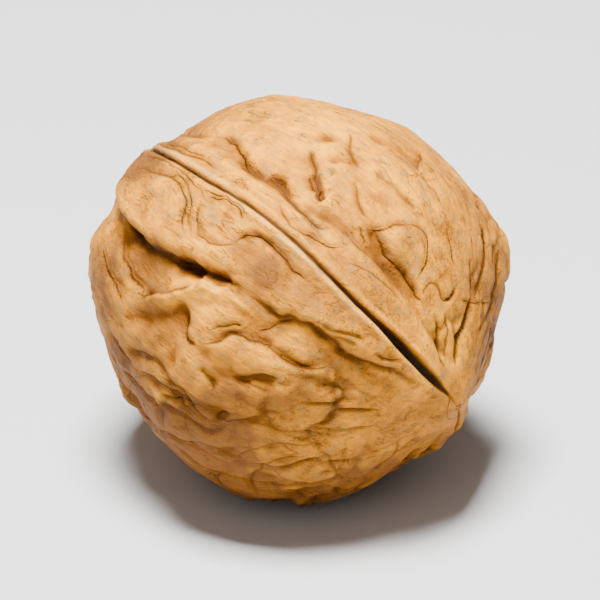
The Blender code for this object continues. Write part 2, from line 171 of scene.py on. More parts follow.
front = smooth[:, 1] > 0
stray = np.where(front, table(along, FRONT_WANDER), table(along, BACK_WANDER))
upright = smooth[:, 0] - lean(along)
side = upright - np.sin(np.radians(stray)) * np.hypot(upright, smooth[:, 1])
off = np.abs(side)
uneven = noise(np.stack([along / 16, 3.1 * np.sign(side), 7.7 * front], -1), SEED + 20)
width = np.where(front, np.where(side < 0, table(along, LEFT_BAND), table(along, RIGHT_BAND)),
                 table(along, BACK_BAND) + 0.7 * uneven)
clear = ease(0.08, 0.45, girth)
height += clear * SEAM_RISE * (1 - ease(width * 0.7, width * 1.2, off))
beside = clear * np.exp(-((off - width * 1.15) / 0.9) ** 2)
beside *= 0.25 + 0.35 * rough(smooth / 4, SEED + 30)
beside *= 1 - ease(-0.15, 0.15, square @ TO_SHOWN) * (side < 0)
height -= beside
height += clear * LIP_RISE * np.exp(-((off - LIP_OFF) / LIP_HALF) ** 2)
gap = np.where(front, table(along, FRONT_GAP, 2), table(along, BACK_GAP))
line = np.exp(-(off / gap) ** 4)
height -= (GAP_DEPTH + GAP_DEEPER * (gap - 0.12)) * line * ease(0, 0.12, girth)
# Painted shade: dark darkens the grooves beside the band here, and below also the creases, cracks and
# pits, where shade falls.
dark = ease(0.15, 0.5, beside)
lip = side - 0.42 + 0.86 * (1 - ease(95, 103, along))
pale = front * clear * np.exp(-(lip / PALE_HALF) ** 2)
pale *= 0.7 + 0.6 * noise(smooth / 1.5, SEED + 35)
height += PALE_RISE * pale

# Creases of this nut, each along a given route. A crease is a groove that may have one side higher than
# the other, like a fold of the shell rolled over its neighbour.
CREASES = [
    # the deep fold under the seam's ridge, from the base to the tip, and its black hollow
    (0.85, 0.32, 0.5, [(-13, 143), (-19, 140.5), (-24, 135), (-26, 130), (-28, 125), (-28.4, 120),
                       (-27.8, 115), (-26.8, 109.5), (-25, 103.5), (-22.5, 97.5), (-21, 92),
                       (-20.2, 88.5), (-19.4, 84.5), (-18.8, 80), (-18.7, 75)]),
    (0.5, 0.28, 0.24, [(-18.9, 80), (-18.6, 75), (-18.7, 71), (-19.5, 67.3), (-18.8, 64.5),
                       (-17, 62.3), (-15.8, 59), (-15.4, 56.5), (-16.6, 53.3), (-16, 50),
                       (-16.6, 46.8), (-17.5, 43.5), (-16, 37), (-13, 27), (-12, 16)]),
    (0.25, 0.24, 0.06, [(-15.4, 58), (-15.2, 52), (-14.6, 49.2), (-13.7, 46.8), (-12, 42)]),
    (0.6, 0.34, 0.4, [(-5, 152), (-10, 146.5), (-15, 142.5), (-20, 139.5), (-24, 135), (-26, 130),
                      (-28, 125), (-28.4, 120), (-27.8, 115)]),
    (1.3, 0.58, 0.0, [(-25.2, 102.5), (-24.8, 100), (-23.6, 95.5), (-22.3, 91.5)]),
    (0.45, 0.6, 0.0, [(-22, 94), (-20.6, 90), (-19.8, 86.5), (-19, 82)]),
    # the light rim below it, the crease above the rim and the brown hollows under the rim
    (-0.55, 0.6, 0.0, [(-43, 105), (-38.2, 101.3), (-34.7, 98.3), (-31.5, 95.3), (-28, 92),
                        (-25.5, 89.5), (-24, 85), (-23, 80), (-22.5, 75), (-23, 70)]),
    (0.5, 0.28, -0.15, [(-44, 107.5), (-40.3, 104.9), (-37.4, 102), (-34.8, 99.7), (-31.8, 96.6),
                        (-28.9, 94), (-26, 92.4)]),
    (0.6, 0.95, 0.15, [(-48, 104), (-43, 98.5), (-40, 95.2), (-36.5, 92.2), (-34, 89)]),
    (0.4, 0.6, 0.0, [(-53, 109), (-50, 106), (-48, 102.5), (-47.5, 99)]),
    (0.35, 0.3, 0.1, [(-36.5, 92), (-38.5, 89.8), (-40.5, 87.8), (-41.2, 85), (-40, 82)]),
    (0.3, 0.26, -0.18, [(-33, 129), (-36.5, 124.5), (-38.7, 120.3), (-40.3, 114.6), (-40.6, 109.8),
                        (-39.5, 105.2)]),
    (0.25, 0.26, -0.12, [(-44, 131), (-47, 126), (-48, 121), (-48, 117), (-48.7, 111)]),
    # the looping crease, fine ones beside it and the soft groove below
    (0.4, 0.25, -0.22, [(-39.5, 82), (-37.8, 79.3), (-35, 76.7), (-32.4, 75), (-31, 72.3), (-29.9, 70),
                        (-29.1, 67.3), (-29, 64.5), (-29.4, 61), (-30, 57.5), (-30.3, 53.5),
                        (-29.3, 50), (-26.8, 46.8), (-22, 43)]),
    (0.2, 0.2, 0.0, [(-33.5, 81), (-31.3, 78.4), (-29, 75.9), (-27.4, 72.5)]),
    (0.2, 0.2, 0.0, [(-27.5, 69), (-24.8, 67), (-22.3, 65.4), (-19.8, 63), (-17, 60.5)]),
    (0.35, 0.8, -0.1, [(-41, 84), (-43, 77), (-45, 72), (-43.5, 68), (-41, 64), (-40, 60),
                       (-39, 54)]),
    (0.5, 0.34, 0.15, [(-44.5, 68), (-41.8, 65.3), (-39.6, 61.8), (-37.8, 58.5), (-36.5, 55.5)]),
    (0.3, 0.3, 0.0, [(-45, 79), (-46.5, 76.5), (-47.8, 73.5), (-50, 71.5)]),
    # long brown creases at the lower side, and the fine ones beside them
    (0.5, 0.5, 0.15, [(-60, 124), (-63, 118), (-64.5, 112.5), (-65.5, 107), (-66, 101)]),
    (0.5, 0.4, 0.12, [(-75, 108), (-74, 104.5), (-72.1, 99.3), (-70.1, 92.8), (-69.5, 86)]),
    (0.35, 0.26, 0.1, [(-66, 101), (-62.5, 95), (-60.3, 89), (-60.2, 84.8), (-62, 80.7), (-63, 77.5),
                       (-64, 73)]),
    (0.3, 0.24, 0.06, [(-56.5, 90), (-57.2, 86), (-57.8, 81.5), (-60.5, 77.5), (-62, 73.5),
                       (-62.5, 69)]),
    (0.25, 0.22, 0.0, [(-64, 90), (-63, 86.5), (-62, 83), (-62.4, 79.5)]),
    (0.35, 0.4, 0.05, [(-63, 105), (-57.5, 99.5), (-55.4, 95), (-55, 91), (-55.5, 86)]),
    (0.45, 0.34, 0.0, [(-60.8, 67.2), (-60.3, 69), (-59, 69.2), (-57.8, 67.3), (-56.5, 65)]),
    (0.45, 0.32, 0.14, [(-78, 92), (-79.3, 85), (-78.5, 77.5), (-77.2, 72), (-78.3, 68), (-79.3, 62)]),
    (0.3, 0.34, 0.1, [(-60.5, 67), (-58.5, 63.3), (-56.3, 60.5), (-53.5, 58.5)]),
    # veins and the oval plate on the seam's ridge
    (0.2, 0.24, 0.06, [(-10.5, 130), (-9, 126), (-7.3, 121.5), (-6.2, 116.5), (-7.5, 111.7),
                       (-9.3, 108.3), (-12.1, 106.2), (-15.3, 103.8), (-17.5, 100)]),
    (0.18, 0.22, -0.05, [(-3.6, 121), (-4.3, 115.5), (-5.6, 111.2), (-7.4, 107.8), (-9.6, 105.7),
                         (-12.2, 104), (-14.8, 101.5), (-16.2, 97.5)]),
    (0.14, 0.18, 0.0, [(-3.4, 136), (-3.2, 128), (-2.9, 119), (-3.1, 114), (-4.1, 110), (-4.5, 106)]),
    (0.2, 0.22, -0.06, [(-5.3, 104.7), (-7.5, 104.3), (-9.2, 103.6), (-11, 102.3), (-13, 100.2),
                        (-14.5, 97.7), (-14.7, 94.6), (-13.5, 91.6), (-11.4, 89.8), (-9, 88.9)]),
    (0.2, 0.2, 0.0, [(-5.3, 104.5), (-3.7, 102), (-2.4, 98.2), (-2.1, 95.4), (-2.5, 93), (-4.3, 90.8)]),
    (0.12, 0.16, 0.0, [(-4.5, 106.5), (-2.8, 102.5), (-1.6, 98), (-1.5, 94), (-1.8, 90)]),
    (0.34, 0.27, 0.16, [(-11.4, 89.8), (-8.6, 88.9), (-6.4, 87.5), (-4.8, 84.6), (-4.3, 81.2),
                        (-4.2, 78.5), (-4.7, 75.9), (-5.4, 73), (-5.5, 70.5), (-5, 68),
                        (-5.2, 65.8), (-4.7, 63)]),
    (0.22, 0.26, 0.08, [(-14, 56), (-12.5, 51), (-10, 46), (-8, 42)]),
    (0.25, 0.22, 0.05, [(-12.5, 38), (-10.6, 35.4), (-8.9, 32.2), (-6.3, 29)]),
    # fine lines along the seam's base end
    (0.16, 0.18, 0.0, [(-13, 136), (-10, 132), (-7.9, 124), (-6, 119), (-5, 115)]),
    (0.2, 0.2, 0.0, [(2.6, 139), (2.7, 131), (2.9, 124), (3.6, 118.5), (4, 112), (3.6, 106)]),
    (0.12, 0.16, 0.0, [(5.5, 136), (5, 128), (5.2, 120), (5.6, 113)]),
    # right of the seam: pits, knobs and the smooth raised oval with its dark left edge
    (0.42, 0.26, 0.12, [(18, 120), (16.6, 116), (15.2, 112.2), (13.1, 107.2), (11.2, 104.3), (10, 102),
                        (10.7, 99.5)]),
    (0.55, 0.3, 0.08, [(11.6, 98), (11.9, 94.6), (11.3, 91.8), (10.2, 88.5), (9.1, 85.8), (8.6, 81.5),
                       (8.2, 77.5), (8.3, 74.5), (9.2, 72.6), (11.5, 71)]),
    (0.5, 0.4, 0.0, [(11.8, 96.2), (11.9, 94), (11.3, 91.5)]),
    (0.4, 0.24, 0.1, [(27.5, 95.5), (25.5, 92.8), (23.5, 90.3), (21.2, 88), (19.3, 85.2)]),
    (0.75, 0.28, 0.12, [(22, 88.8), (19.3, 85.2), (17.7, 83), (16.5, 80.7), (17.5, 79)]),
    (0.4, 0.26, 0.0, [(19.5, 89.4), (18, 87.4), (16.9, 85.6), (16.2, 83.2)]),
    (0.3, 0.42, 0.0, [(25.8, 86), (24.6, 84.4), (23.8, 82.6)]),
    (0.6, 0.5, 0.0, [(17.8, 83), (16.5, 80.9), (16.8, 79.2)]),
    (0.24, 0.19, 0.08, [(43, 95), (39.7, 91.6), (37, 89.4), (34.6, 87.3), (33.3, 84.8), (32, 81)]),
    (0.26, 0.2, 0.08, [(27.2, 79.5), (26.4, 77), (25.2, 74.7), (23.6, 72.4), (22.5, 70.2), (22.2, 66.5)]),
    (0.38, 0.22, 0.3, [(23, 64.5), (21.7, 60.8), (20.6, 56.8), (20.5, 53), (21.1, 49.5), (21.8, 45.8),
                       (22.1, 42.6), (21.8, 39.6), (21.7, 36)]),
    (0.28, 0.75, 0.0, [(22.3, 64), (20.3, 60), (19.5, 56.5), (19.4, 53)]),
    (0.22, 0.2, 0.0, [(21.5, 64.5), (23, 63), (25, 61.9), (28.3, 61), (32.5, 58.8)]),
    (0.2, 0.2, 0.0, [(31.5, 59.3), (35.6, 57.6), (37.3, 55.2), (37, 52.5), (34.6, 49.7), (31, 47.3),
                     (27.5, 45.6), (22.5, 44.8)]),
    (0.22, 0.2, 0.0, [(22.7, 38), (24.6, 40.1), (27.5, 41.2), (30.3, 40.6), (32.8, 39), (33.4, 36.6),
                      (34.3, 34.4), (37, 34), (40.3, 35.5), (43.5, 38.5)]),
    (0.35, 0.21, 0.12, [(62.5, 82), (58.5, 79), (55.4, 76.9), (52.3, 75), (49.8, 72.7)]),
    (0.2, 0.24, 0.08, [(50.5, 73.5), (50.5, 70), (50.9, 66), (50.5, 61)]),
    (0.2, 0.4, 0.08, [(34.5, 78.5), (35.8, 76), (37, 72.8), (37.9, 69.4), (38.6, 66), (38.7, 61)]),
    (0.22, 0.2, 0.0, [(18.8, 67), (17.7, 64.7), (16.3, 62)]),
    (0.2, 0.2, 0.05, [(5.5, 88), (4.9, 85), (3.7, 81), (3.4, 78), (4.3, 74.3), (5.2, 70.2), (6.5, 67),
                      (9.8, 64.5)]),
    (0.12, 0.16, 0.0, [(6.5, 62), (8.5, 58), (10.5, 52), (12, 46), (12.5, 40)]),
    (0.12, 0.16, 0.0, [(12.5, 66), (13.5, 61), (15, 56), (16, 51)]),
    # long veins that run together at the tip
    (0.35, 0.36, 0.06, [(76.5, 58), (75.2, 53.3), (73.2, 47.2), (71, 42.8), (68, 38.7), (64, 34.7),
                        (60, 30.5)]),
    (0.3, 0.28, 0.06, [(86.5, 54), (85.6, 50), (84.5, 45.2), (84.3, 40.4), (83, 34.7), (79.5, 29),
                       (72.1, 25), (65, 22.2), (59, 19)]),
    (0.2, 0.2, 0.0, [(58.2, 44), (58.8, 40), (59.4, 35.8), (57.2, 32)]),
    (0.42, 0.26, 0.1, [(57.5, 34), (55.4, 30), (52.6, 26), (48.6, 23), (42.8, 20.8), (37.4, 18.4),
                       (32.5, 15.4), (26, 12.5)]),
    (0.14, 0.18, 0.0, [(49, 55), (48.1, 50.5), (47, 46.8), (45.2, 42.5)]),
    (0.14, 0.18, 0.0, [(64, 56), (62.5, 50), (60.5, 45.5), (57, 41)]),
    (0.25, 0.24, 0.0, [(25.5, 31), (23.3, 25.6), (20.6, 22), (15.5, 19), (12.6, 14.5)]),
    (0.16, 0.18, 0.0, [(34, 31), (31, 26), (27, 21), (20, 16)]),
    (0.14, 0.16, 0.0, [(42, 34.2), (49, 32), (56.3, 30.9), (64, 30.7), (72.1, 31.5), (81, 33)]),
]  # depth, half width, step (mm; it raises the route's left side), route of around, along


def wandering(count, seed):
    """Creases by chance on the sides turned away: each starts anywhere and wanders along the
    nut in steps of 7 degrees, turning a little at each, with a depth and width of its own."""
    rng = np.random.default_rng(seed)
    found = []
    while len(found) < count:
        a, b = rng.uniform(0, 360), np.degrees(np.arccos(rng.uniform(-0.93, 0.93)))
        heading, bend = np.radians(rng.normal(0, (32, 12)))
        route = []
        for _ in range(rng.integers(3, 10)):
            if 10 < b < 170 and outward(body(a, b)) @ TO_SHOWN < 0.36:
                route.append((a, b))
            heading += bend + rng.normal(0, 0.3)
            b += 7 * np.cos(heading)
            a += 7 * np.sin(heading) / max(0.2, np.sin(np.radians(b)))
        if len(route) > 2:
            depth = rng.uniform(0.25, 0.65)
            found.append((depth, rng.uniform(0.26, 0.36) + 0.2 * depth, rng.normal(0, 0.18), route))
    return found


def smooth_route(route, step=0.3):
    """A Catmull-Rom curve through the route, sampled about every step mm, on the body."""
    p = np.array(route, float)
    p = np.vstack([2 * p[0] - p[1], p, 2 * p[-1] - p[-2]])
    runs = []
    for a, b, c, d in zip(p, p[1:], p[2:], p[3:]):
        count = int(np.linalg.norm(body(*b) - body(*c)) / step) + 2
        t = np.linspace(0, 1, count, endpoint=False)[:, None]
        runs.append(0.5 * (2 * b + (c - a) * t + (2 * a - 5 * b + 4 * c - d) * t ** 2
                           + (3 * b - a - 3 * c + d) * t ** 3))
    return body(*np.vstack(runs + [p[-2:-1]]).T)


def from_route(points, normals, route):
    """For the points near a route: their indices, their distance from it (to its nearest sample,
    without the part that runs along it), side (+1 left) and place on it, 0 to 1."""
    line = smooth_route(route)
    ahead = np.gradient(line, axis=0)
    ahead /= np.linalg.norm(ahead, axis=1, keepdims=True)
    near = np.flatnonzero(np.all((points > line.min(0) - 6) & (points < line.max(0) + 6), axis=1))
    q = points[near]
    nearest = ((q ** 2).sum(1)[:, None] - 2 * q @ line.T + (line ** 2).sum(1)).argmin(1)
    away, ahead = q - line[nearest], ahead[nearest]
    left = np.sign((np.cross(normals[near], ahead) * away).sum(1))
    forward = (away * ahead).sum(1)
    past_end = (nearest == 0) & (forward < 0) | (nearest == len(line) - 1) & (forward > 0)
    away = away - np.where(past_end, 0, forward)[:, None] * ahead
    return near, np.linalg.norm(away, axis=1), left, nearest / (len(line) - 1)


wobble = np.stack([rough(smooth / 1.7, SEED + 200 + i) for i in range(3)], -1)
uneven = 1 + 0.5 * noise(smooth / 2.3, SEED + 210)
by_chance = wandering(95, SEED + 123)
by_chance += [(0.45 * depth, 0.55 * half, 0.3 * step, route)
              for depth, half, step, route in wandering(80, SEED + 130)]

# The finish paints shade as a crisp dark line in each narrow crease: inked is how strong it is, and edge
# how far from its middle, in half widths. Neighbours are on different layers, so none mix.
LAYERS = 4
inked = np.zeros((LAYERS, len(smooth)))
edge = np.full((LAYERS, len(smooth)), 9.0)
for number, (depth, half, step, route) in enumerate(CREASES + by_chance):
    near, away, left, place = from_route(smooth + 0.22 * wobble, square, route)
    ends = ease(0, 0.2, place) * (1 - ease(0.8, 1, place))
    if number >= len(CREASES):
        ends *= 1 - 0.7 * ease(-0.35, 0.3, square[near] @ TO_SHOWN)
        ends *= ease(0.1, 0.3, girth[near])
    layer = number % LAYERS
    ink = ends * min(1, 0.35 + 0.8 * depth) * (half < 0.45)
    ink *= np.exp(-(away / 0.55) ** 2) * (0.4 + 0.6 * uneven[near])
    stronger = ink > inked[layer, near]
    inked[layer, near[stronger]] = ink[stronger]
    edge[layer, near[stronger]] = (left * away / half)[stronger]
    away = away / (half * (0.55 + 0.45 * ends))
    groove = ends * np.exp(-away ** 1.4) * uneven[near]
    fold = step * left * np.tanh(away) * np.exp(-(away * half / 2.2) ** 2)
    height[near] += ends * fold - depth * groove
    # Painted shade: each crease's groove darkens its colour.
    dark[near] = np.maximum(dark[near], groove * min(1, 0.36 * depth / half))

# The shell's net of cracks, as it dried and split in plates: uneven ones, long from tip to
# base, with thin cracks between them, a finer net inside it, and pits beside the seams.
PLATES, SMALL_PLATES = (26, 9), (44, 13)
CRACK_DEPTH, PIT_DEPTH, FINE_CRACK_DEPTH, WRINKLE_DEPTH = 0.3, 0.6, 0.13, 0.07


def network(around, along, seed, columns, rows, warp):
    """Distance to the borders of a net of uneven cells that are long along the nut, and each
    point's cell. The cells' middles are a loose brick pattern, and noise bends the borders.
    The distance is the difference of the squared distances to the two nearest middles, over
    twice the distance between those."""
    rng = np.random.default_rng(seed)
    col, row = np.meshgrid(np.arange(columns), np.arange(rows), indexing="ij")
    col = (col + 0.5 * (row % 2) + rng.uniform(-0.42, 0.42, col.shape)) * 360 / columns
    row = (row + 0.5 + rng.uniform(-0.42, 0.42, row.shape)) * 180 / rows

    def unrolled(a, b):
        a, b = np.radians(a), np.radians(b)
        wide = SEAM_HALF * (0.35 + 0.65 * np.sin(b))
        return np.stack([wide * np.cos(a), wide * np.sin(a), 0.3 * SEAM_HALF * b], -1)

    middles = unrolled(col.ravel(), row.ravel())
    points = unrolled(around, along)
    points = points + warp * np.stack([rough(points * 0.22, seed + 10 * i, 3) for i in (1, 2, 3)], -1)
    border, cell = np.empty(len(points)), np.empty(len(points), int)
    for start in range(0, len(points), 20000):
        part = slice(start, start + 20000)
        q = points[part]
        d2 = (q ** 2).sum(1)[:, None] - 2 * q @ middles.T + (middles ** 2).sum(1)
        two = np.argpartition(d2, 1, axis=1)[:, :2]
        d2 = np.take_along_axis(d2, two, 1)
        apart = np.linalg.norm(middles[two[:, 0]] - middles[two[:, 1]], axis=1)
        border[part] = abs(d2[:, 1] - d2[:, 0]) / (2 * apart)
        cell[part] = two[np.arange(len(q)), d2.argmin(1)]
    return border, cell


border, cell = network(around, along, SEED + 40, *PLATES, 1.6)
beyond = ease(1.6, 3.4, off) * ease(0.1, 0.35, girth) * (1 - 0.7 * shown)
crack = np.exp(-(border / 0.26) ** 2) * ease(-0.35, 0.6, noise(smooth / 5, SEED + 50)) * beyond
height -= CRACK_DEPTH * crack
plate_rise = np.random.default_rng(SEED + 60).uniform(-0.1, 0.16, PLATES[0] * PLATES[1])
height += plate_rise[cell] * ease(0, 1.6, border) * beyond
pits = ease(0.38, 0.8, rough((smooth + 0.5 * wobble) / (2.2, 2.2, 4.2), SEED + 90))
pits *= ease(0.3, 0.8, girth) * ease(3, 5, off) * (1 - ease(9, 14, off)) * (1 - shown)
height -= PIT_DEPTH * pits
border, cell = network(around, along, SEED + 70, *SMALL_PLATES, 1.9)
fine = np.exp(-(border / 0.2) ** 2) * ease(-0.1, 0.8, noise(smooth / 4 + 9, SEED + 80))
fine *= ease(1.0, 2.6, off) * ease(0.12, 0.5, girth) * (1 - 0.3 * shown)
height -= FINE_CRACK_DEPTH * fine
height -= WRINKLE_DEPTH * np.abs(rough(smooth / (0.9, 0.9, 3.2), SEED + 100)) * ease(0.1, 0.4, girth)
# Painted shade also darkens the cracks, pits and fine cracks.
dark = np.max([dark, 0.75 * crack, 0.8 * pits, 0.4 * fine], axis=0)

# How far each place lies below the blurred shell round it: the finish paints shade in the low places and
# a highlight on what stands up.
soft = height[:-2].reshape(RINGS, ROUND)
BLURS = 40
for _ in range(BLURS):
    soft = (2 * soft + np.roll(soft, 1, 1) + np.roll(soft, -1, 1)) / 4
    soft[1:-1] = (2 * soft[1:-1] + soft[:-2] + soft[2:]) / 4
hollow = np.append(soft.ravel() - height[:-2], [0, 0])

# Where the shell is stained, with painted light mixed in: rusty brown stains and painted shade low down,
# at both ends and under the folds, and paler with painted highlight on the ridges that stand up. The
# sides turned away have stains by chance.
STAINS_AND_PAINTED_LIGHT = [
    # brown: stains, and painted shade where the nut lies in shade
    (-30, 108, 8, 0.8), (-34, 119, 9, 0.4), (-44, 100, 8, 0.7), (-58, 95, 12, 0.5),
    (-66, 112, 12, 0.6), (-72, 80, 13, 0.5), (-78, 102, 14, 0.7), (-60, 65, 14, 0.6),
    (-46, 72, 7, 0.3), (-12, 76, 7, 0.9), (-8, 63, 6, 0.5), (0, 154, 16, 0.6), (-50, 124, 10, 0.7),
    (72, 35, 14, 0.3), (88, 42, 13, 0.4), (-35, 45, 14, 0.4), (-15, 35, 10, 0.2), (16, 93, 4, 0.4),
    (5, 60, 7, 0.3), (-5, 134, 9, 1.9), (-85, 80, 15, 0.8), (-67, 68, 10, 0.4), (-40, 88, 5, 0.45),
    (20, 52, 6, 0.4), (8, 47, 6, 0.3), (-3, 118, 5, 0.3), (16, 70, 6, 0.3), (60, 78, 6, 0.3),
    (36, 84, 4, 0.3), (24, 54, 5, 0.4), (45, 34, 9, 0.3), (-50, 124, 8, 0.4), (-92, 80, 16, 1.3),
    # paler: painted highlight where the shell faces the light, and paler shell
    (-31, 95, 4, -0.9), (-25, 86, 5, -0.9), (-24, 57, 6, -0.7), (-18, 116, 6, -0.4),
    (45, 105, 16, -0.9), (30, 97, 10, -0.6), (-33, 80, 6, -0.3), (12, 84, 5, -0.5),
    (42, 68, 8, -0.7), (-9, 100, 5, -0.5), (24, 22, 13, -1.4), (-67, 90, 7, -0.8), (1, 80, 4, -0.4),
]  # around, along, spread in degrees, strength
stain_and_painted_light = 0.9 * (1 - shown) * ease(-0.2, 0.9, rough(smooth / (8, 8, 10), SEED + 300))
for a, b, across, strength in STAINS_AND_PAINTED_LIGHT:
    away = ((smooth - body(a, b)) ** 2).sum(1)
    stain_and_painted_light += strength * np.exp(-away / (radians(across) * SEAM_HALF) ** 2)
TO_FLOOR = (-0.55, -0.78, 0.31)  # down, once the nut lies
# Painted shade: the side that faces the floor is made darker.
stain_and_painted_light += 0.8 * ease(0.1, 0.8, square @ TO_FLOOR)
stain_and_painted_light *= 1.1 + 0.6 * rough(smooth / 2.2, SEED + 310)

# The nut laid down on its side: turned about its own length, laid over with the tip dipping,
# and set with its small flat spot on the floor.
ROLL, DIP = 125.5, 17.8
REST_SPOT = (1.0, 0.3, -17.25)
lay = Matrix.Rotation(radians(90 + DIP), 4, "Y") @ Matrix.Rotation(radians(ROLL), 4, "Z")
points = (smooth + square * height[:, None]) @ np.array(lay.to_3x3()).T - REST_SPOT
points[:, 2] = np.maximum(points[:, 2], 0)
first = np.arange(RINGS - 1)[:, None] * ROUND
here = np.arange(ROUND)
after = (here + 1) % ROUND
quads = np.stack([first + here, first + after, first + ROUND + after, first + ROUND + here], -1)
tip, base, last = RINGS * ROUND, RINGS * ROUND + 1, (RINGS - 1) * ROUND
caps = [(tip, b, a) for a, b in zip(here, after)]
caps += [(base, last + a, last + b) for a, b in zip(here, after)]
faces = [tuple(quad[::-1]) for quad in quads.reshape(-1, 4).tolist()] + caps
mesh = bpy.data.meshes.new("walnut_shell")
mesh.from_pydata(points * 0.001, [], faces)
mesh.update()
mesh.shade_smooth()
marks = {"dark": dark, "side": side + 3 * (1 - ease(0, 0.12, girth)), "slit": gap,
         "relief": height, "hollow": hollow, "pale": pale, "stain_and_painted_light": stain_and_painted_light}
for i in range(LAYERS):
    marks[f"inked_{i}"], marks[f"edge_{i}"] = inked[i], edge[i]
for name, values in marks.items():
    mesh.attributes.new(name, "FLOAT", "POINT").data.foreach_set("value", values.astype(np.float32))
shell = bpy.data.objects.new("walnut_shell", mesh)
bpy.context.scene.collection.objects.link(shell)
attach(shell, "root")
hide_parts("walnut")

# The shell's finish: dry woody tan, hardly glossy, with painted highlight on what stands up, painted
# shade in the creases and low places and nearly black painted shade in the gap, brown stains, and fibres
# and fine veins along the nut.


def node(tree, kind, links=(), **settings):
    """A node with its settings, and its inputs linked to sockets or set to values."""
    new = tree.nodes.new("ShaderNode" + kind)
    for key, value in settings.items():
        setattr(new, key, value)
    for socket, value in dict(links).items():
        if isinstance(value, bpy.types.NodeSocket):
            tree.links.new(value, new.inputs[socket])
        else:
            new.inputs[socket].default_value = value
    return new


def times(tree, value, factor):
    """The value times the factor, a number or another value."""
    return node(tree, "Math", {0: value, 1: factor}, operation="MULTIPLY").outputs[0]


def bell(tree, value, width):
    """1 where the value is 0, falling away on both sides: e to the minus of its square, with
    the value counted in widths."""
    scaled = node(tree, "Math", {0: value, 1: width}, operation="DIVIDE").outputs[0]
    minus = times(tree, times(tree, scaled, scaled), -1.0)
    return node(tree, "Math", {0: minus}, operation="EXPONENT").outputs[0]


def mixed(tree, factor, low, high, blend="MIX"):
    """The colour low turned to high by the factor."""
    links = {0: factor, 6: low, 7: high}
    return node(tree, "Mix", links, data_type="RGBA", blend_type=blend).outputs[2]


def spread(tree, value, low, high):
    """0 where the value is at low, 1 at high, in a straight line between them."""
    links = {"Value": value, "From Min": low, "From Max": high}
    return node(tree, "MapRange", links).outputs["Result"]


def grey(tree, value):
    """The value as a grey."""
    return node(tree, "CombineColor", {0: value, 1: value, 2: value}).outputs[0]


def cloudy(tree, place, scale, detail, roughness, distortion=0.0):
    """Noise of 0 to 1 at the place: scale cells to the mm, with finer noise in detail octaves."""
    links = {"Vector": place, "Scale": scale, "Detail": detail, "Roughness": roughness,
             "Distortion": distortion}
    return node(tree, "TexNoise", links).outputs["Fac"]


def sum_of(tree, *terms):
    """The sum of each value times its number."""
    total = 0.0
    for value, share in terms:
        links = {0: value, 1: share, 2: total}
        total = node(tree, "Math", links, operation="MULTIPLY_ADD").outputs[0]
    return total


# Colours of the shell. The crease, line and gap colours are painted shade; brown and rusty also paint
# shade in low places and on the side that faces the floor, and the palest partly paints highlight.
GOLDEN, TAN, BROWN = (0.72, 0.262, 0.003, 1), (0.47, 0.165, 0.003, 1), (0.22, 0.068, 0.003, 1)
RUSTY_AND_SHADE, PINKISH, ASHY = (0.16, 0.058, 0.012, 1), (0.74, 0.27, 0.025, 1), (0.36, 0.19, 0.055, 1)
BLEACHED_AND_HIGHLIGHT, LIP = (0.93, 0.37, 0.008, 1), (0.93, 0.50, 0.13, 1)
CREASE, CRISP_LINE = (0.085, 0.03, 0.006, 1), (0.13, 0.045, 0.008, 1)
SEAM_LINE, GAP = (0.09, 0.045, 0.014, 1), (0.03, 0.015, 0.006, 1)

material = bpy.data.materials.new("walnut_shell")
material.use_nodes = True
tree = material.node_tree
bsdf = tree.nodes["Principled BSDF"]
place = node(tree, "TexCoord").outputs["Object"]
upright = node(tree, "Mapping", {"Vector": place, "Rotation": (0, -radians(90 + DIP), -radians(ROLL)),
                                 "Scale": (1000, 1000, 1000)}).outputs["Vector"]
lengthways = node(tree, "Mapping", {"Vector": upright, "Scale": (1.5, 1.5, 0.22)}).outputs["Vector"]
mark = {name: node(tree, "Attribute", attribute_name=name).outputs["Fac"] for name in marks}
fibre = cloudy(tree, lengthways, 1.4, 5, 0.65, 0.3)
cloud = cloudy(tree, upright, 0.16, 5, 0.62)
patch = cloudy(tree, upright, 0.55, 4, 0.6)
speck = cloudy(tree, upright, 3.5, 4, 0.7)
tint = node(tree, "TexNoise", {"Vector": upright, "Scale": 0.9, "Detail": 3, "Roughness": 0.6,
                               "W": 4.0}, noise_dimensions="4D").outputs["Fac"]
dash = cloudy(tree, lengthways, 1.5, 4, 0.6, 0.8)
dash = times(tree, spread(tree, dash, 0.55, 0.7), spread(tree, patch, 0.35, 0.6))
vein = cloudy(tree, lengthways, 0.55, 3.5, 0.5, 0.4)
vein = bell(tree, node(tree, "Math", {0: vein, 1: 0.5}, operation="SUBTRACT").outputs[0], 0.007)
vein = times(tree, vein, spread(tree, patch, 0.42, 0.6))

colour = mixed(tree, spread(tree, cloud, 0.36, 0.64), TAN, GOLDEN)
colour = mixed(tree, times(tree, spread(tree, tint, 0.5, 0.7), 0.6), colour, PINKISH)
# Painted shade: brown where the relief lies low.
colour = mixed(tree, times(tree, spread(tree, mark["relief"], -0.1, -1.3), 0.6), colour, BROWN)
colour = mixed(tree, times(tree, spread(tree, patch, 0.48, 0.66), 0.6), colour, BROWN)
# Painted highlight: paler where the shell stands above its surroundings.
colour = mixed(tree, times(tree, spread(tree, mark["hollow"], -0.02, -0.22), 0.6), colour, BLEACHED_AND_HIGHLIGHT)
colour = mixed(tree, 0.6, colour, grey(tree, fibre), "OVERLAY")
colour = mixed(tree, 0.45, colour, grey(tree, speck), "OVERLAY")
# Paler where the stains are negative: partly paler shell, partly painted highlight on places that face
# the light.
colour = mixed(tree, times(tree, spread(tree, mark["stain_and_painted_light"], 0, -1), 0.8), colour, BLEACHED_AND_HIGHLIGHT)
colour = mixed(tree, times(tree, spread(tree, tint, 0.5, 0.32), 0.75), colour, ASHY)
